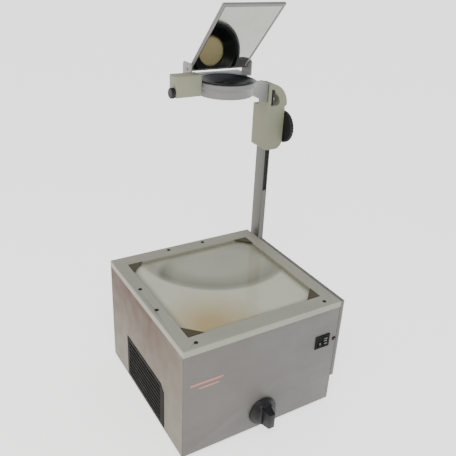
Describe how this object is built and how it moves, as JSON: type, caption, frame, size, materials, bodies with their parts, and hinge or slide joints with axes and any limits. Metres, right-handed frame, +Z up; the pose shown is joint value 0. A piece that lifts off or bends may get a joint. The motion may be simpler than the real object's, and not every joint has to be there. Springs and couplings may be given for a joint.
{
  "type": "overhead projector",
  "caption": "Box-shaped overhead projector with a hinged glass stage, a rack mast beside it, a focusing head and a tilting mirror.",
  "frame": {"origin": "centre of the bounding box in plan, at the bottom of the feet", "axes": "+X right along the front, +Y to the rear, +Z up along the mast"},
  "size_m": [0.409, 0.402, 0.8025],
  "materials": {
    "housing_enamel": "satin grey enamel, fine grain",
    "lid_enamel": "satin grey enamel on a die casting",
    "grille": "dark brown moulded grille",
    "cast_enamel": "olive-grey enamel on a casting",
    "mast_aluminium": "satin anodised",
    "plated_steel": "zinc plated",
    "mirror_backing": "satin",
    "fan_plastic": "moulded",
    "black_plastic": "moulded, slight sheen",
    "lens_cell": "black, semi-gloss",
    "dark_fittings": "dark olive",
    "rubber": "matt",
    "transformer_iron": "varnished laminations",
    "stage_glass": "polished",
    "fresnel": "clear acrylic with fine concentric grooves",
    "lens_glass": "polished",
    "silvered_glass": "front-silvered",
    "reflector": "polished",
    "indicator": "clear red"
  },
  "bodies": {
    "lamp_house": {"base_pan": "housing_enamel", "front_panel": "housing_enamel", "rear_panel": "housing_enamel", "left_panel": "housing_enamel", "right_panel": "housing_enamel", "foot_front_left": "rubber", "foot_front_right": "rubber", "foot_rear_left": "rubber", "foot_rear_right": "rubber", "side_cover": "housing_enamel", "intake_grille": "grille", "fan_frame": "fan_plastic", "power_inlet": "black_plastic", "hinge_fixed_leaf": "plated_steel", "hinge_pin": "plated_steel", "switch_bezel": "black_plastic", "pilot_lamp": "indicator", "lamp_rail": "plated_steel", "optics_bridge": "plated_steel", "reflector": "reflector", "condenser_lens": "lens_glass", "transformer": "transformer_iron", "mast_bracket": "lid_enamel", "mast_post": "mast_aluminium", "mast_rack": "black_plastic", "mast_cap": "black_plastic"},
    "stage_lid": {"stage_frame": "lid_enamel", "fresnel_lens": "fresnel", "stage_glass": "stage_glass", "corner_bracket_front_left": "dark_fittings", "corner_bracket_front_right": "dark_fittings", "corner_bracket_rear_left": "dark_fittings", "corner_bracket_rear_right": "dark_fittings", "stage_screw_1": "dark_fittings", "stage_screw_2": "dark_fittings", "stage_screw_3": "dark_fittings", "stage_screw_4": "dark_fittings", "stage_screw_5": "dark_fittings", "stage_screw_6": "dark_fittings", "hinge_moving_leaf": "plated_steel"},
    "power_switch": {"power_rocker": "black_plastic"},
    "lamp_level_switch": {"lamp_level_rocker": "black_plastic"},
    "lamp_changer_knob": {"lamp_knob": "black_plastic", "lamp_shaft": "plated_steel"},
    "lamp_carriage": {"lamp_tray": "plated_steel", "main_lamp": "lens_glass", "spare_lamp": "lens_glass"},
    "fan": {"fan_impeller": "fan_plastic"},
    "focus_carriage": {"carriage_housing": "cast_enamel", "head_arm": "cast_enamel", "lens_barrel": "lens_cell", "upper_lens": "lens_glass", "lower_lens": "lens_glass", "head_grip": "cast_enamel", "mirror_bracket": "plated_steel"},
    "focus_drive": {"focus_knob": "black_plastic", "focus_shaft": "plated_steel"},
    "grip_screw": {"grip_screw": "black_plastic"},
    "mirror": {"mirror_frame": "mirror_backing", "mirror_glass": "silvered_glass"}
  },
  "joints": [
    {"name": "stage_lid_lift", "type": "hinge", "parent": "lamp_house", "child": "stage_lid", "pos_m": [-0.0285, 0.1915, 0.241], "axis": [-1, 0, 0], "range_deg": [0, 45]},
    {"name": "power_switch_press", "type": "hinge", "parent": "lamp_house", "child": "power_switch", "pos_m": [0.10315, -0.16, 0.169], "axis": [1, 0, 0], "range_deg": [0, 12]},
    {"name": "lamp_level_press", "type": "hinge", "parent": "lamp_house", "child": "lamp_level_switch", "pos_m": [0.11685, -0.16, 0.169], "axis": [1, 0, 0], "range_deg": [0, 12]},
    {"name": "lamp_slide", "type": "slide", "parent": "lamp_house", "child": "lamp_carriage", "axis": [1, 0, 0], "range_m": [0, 0.044]},
    {"name": "lamp_knob_turn", "type": "hinge", "parent": "lamp_house", "child": "lamp_changer_knob", "pos_m": [-0.0255, -0.164, 0.046], "axis": [0, 1, 0], "range_deg": [-0.2, 168.3]},
    {"name": "fan_spin", "type": "hinge", "parent": "lamp_house", "child": "fan", "pos_m": [-0.0985, 0.156, 0.084], "axis": [0, 1, 0], "continuous": true},
    {"name": "focus_slide", "type": "slide", "parent": "lamp_house", "child": "focus_carriage", "axis": [0, 0, 1], "range_m": [-0.1, 0.03]},
    {"name": "focus_knob_turn", "type": "hinge", "parent": "focus_carriage", "child": "focus_drive", "pos_m": [0.1955, 0.1508, 0.517], "axis": [1, 0, 0], "range_deg": [-430, 1433]},
    {"name": "grip_screw_turn", "type": "hinge", "parent": "focus_carriage", "child": "grip_screw", "pos_m": [-0.1415, 0.003, 0.654], "axis": [1, 0, 0], "range_deg": [0, 180]},
    {"name": "mirror_tilt", "type": "hinge", "parent": "focus_carriage", "child": "mirror", "pos_m": [-0.0355, 0.0374, 0.6833], "axis": [1, 0, 0], "range_deg": [-25, 45]}
  ],
  "couplings": [
    {"joint": "lamp_knob_turn", "follows": "lamp_slide", "rad_per_m": 66.667},
    {"joint": "focus_knob_turn", "follows": "focus_slide", "rad_per_m": -250}
  ]
}
